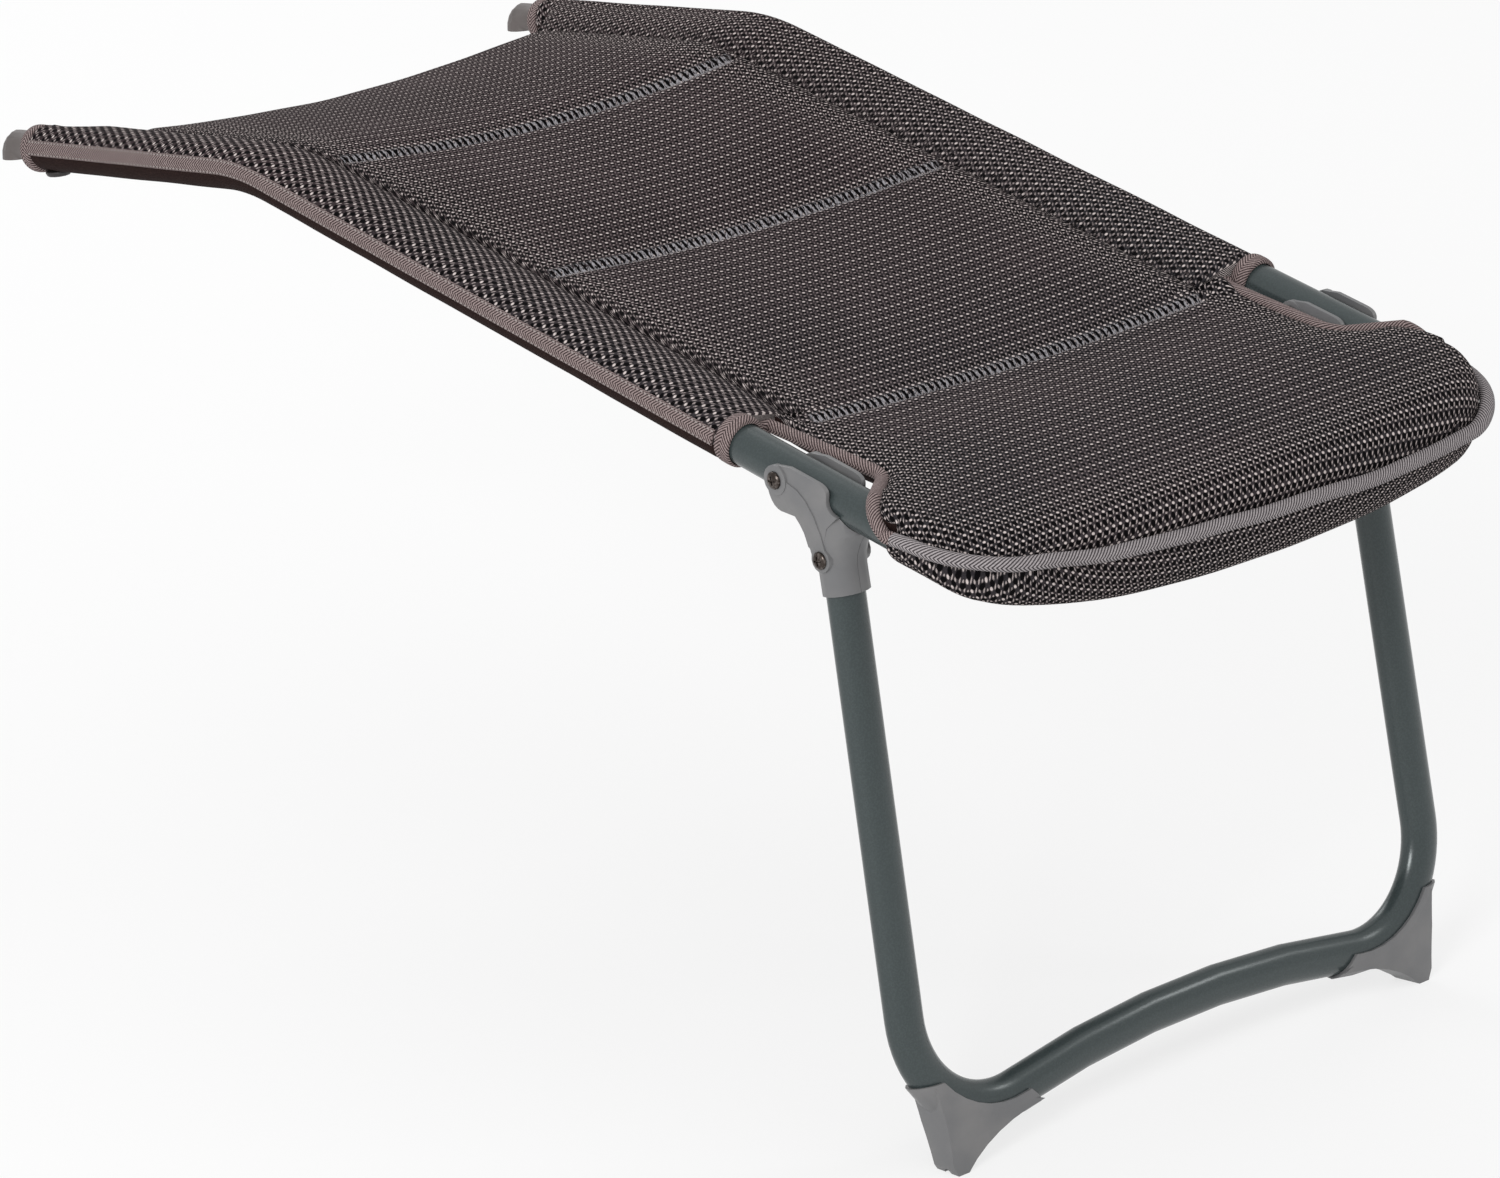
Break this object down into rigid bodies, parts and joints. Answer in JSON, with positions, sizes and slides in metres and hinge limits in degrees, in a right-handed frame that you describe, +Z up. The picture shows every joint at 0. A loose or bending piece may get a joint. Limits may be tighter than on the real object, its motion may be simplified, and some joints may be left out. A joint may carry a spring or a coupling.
{
  "type": "clip-on camping chair leg rest",
  "caption": "Leg rest that clips to the front of a camping chair: padded mesh over a bent tube frame, with a U-shaped leg that folds under.",
  "frame": {"origin": "on the floor, under the middle of the part's bounding box", "axes": "+X to the part's right seen from the foot end, +Y along the rails to the clips, +Z up"},
  "size_m": [0.471, 0.9268, 0.4862],
  "materials": {
    "frame_paint": "satin dark slate powder coat",
    "grey_plastic": "fine moulded grey, satin",
    "screw_steel": "dark nickel plate",
    "mesh_fabric": "spacer mesh in dark brown-grey with light threads",
    "binding_tape": "mauve-grey twill tape",
    "dark_plastic": "near-black moulded head"
  },
  "bodies": {
    "frame": {"frame_tube": "frame_paint", "rear_clip_left": "grey_plastic", "rear_clip_right": "grey_plastic", "clip_screw_left": "dark_plastic", "clip_screw_right": "dark_plastic", "seat_pad": "mesh_fabric", "pocket_underside": "mesh_fabric", "front_piping": "binding_tape", "notch_binding_left": "binding_tape", "notch_binding_right": "binding_tape", "side_sleeve_left": "mesh_fabric", "side_sleeve_right": "mesh_fabric", "side_tape_left": "binding_tape", "side_tape_right": "binding_tape", "sleeve_front_ring_left": "binding_tape", "sleeve_front_ring_right": "binding_tape", "sleeve_rear_ring_left": "binding_tape", "sleeve_rear_ring_right": "binding_tape"},
    "leg": {"leg_tube": "frame_paint", "bracket_outer_left": "grey_plastic", "bracket_outer_right": "grey_plastic", "bracket_inner_left": "grey_plastic", "bracket_inner_right": "grey_plastic", "pivot_screw_left": "screw_steel", "pivot_screw_right": "screw_steel", "pivot_nut_left": "screw_steel", "pivot_nut_right": "screw_steel", "pivot_spacer_left": "screw_steel", "pivot_spacer_right": "screw_steel", "leg_screw_left": "screw_steel", "leg_screw_right": "screw_steel", "leg_nut_left": "screw_steel", "leg_nut_right": "screw_steel", "foot_cap_left": "grey_plastic", "foot_cap_right": "grey_plastic"}
  },
  "joints": [
    {"name": "leg_fold", "type": "hinge", "parent": "frame", "child": "leg", "pos_m": [0, -0.28183, 0.40411], "axis": [1, 0, 0], "range_deg": [0, 108]}
  ]
}
